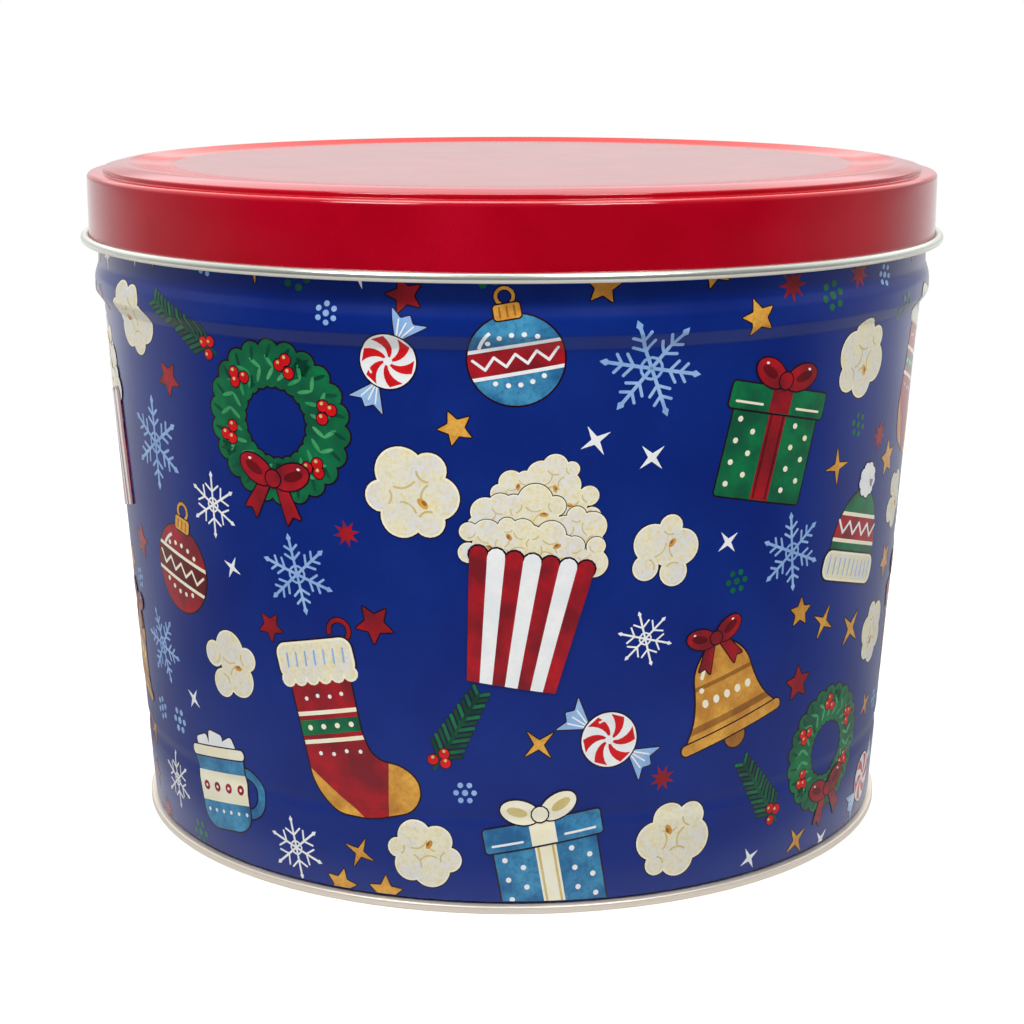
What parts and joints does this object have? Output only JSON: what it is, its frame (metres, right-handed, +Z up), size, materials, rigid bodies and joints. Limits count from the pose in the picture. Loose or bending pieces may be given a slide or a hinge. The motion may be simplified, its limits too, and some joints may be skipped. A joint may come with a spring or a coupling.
{
  "type": "lidded popcorn tin",
  "caption": "Shut round tin of popcorn: tapered printed sheet-metal pail with a beaded neck, a slip lid with a rolled edge and a seamed bottom end.",
  "frame": {"origin": "centre of the foot ring, on the surface that the tin stands on", "axes": "+Z up along the tin's axis; the pictured side faces -Y"},
  "size_m": [0.2508, 0.2508, 0.1904],
  "materials": {
    "printed_wall": null,
    "red_lid": "red satin lacquer with fine grain",
    "tinplate": "bare satin tinplate"
  },
  "bodies": {
    "root": {"body": "printed_wall", "base": "tinplate", "lid": "red_lid"}
  },
  "joints": []
}
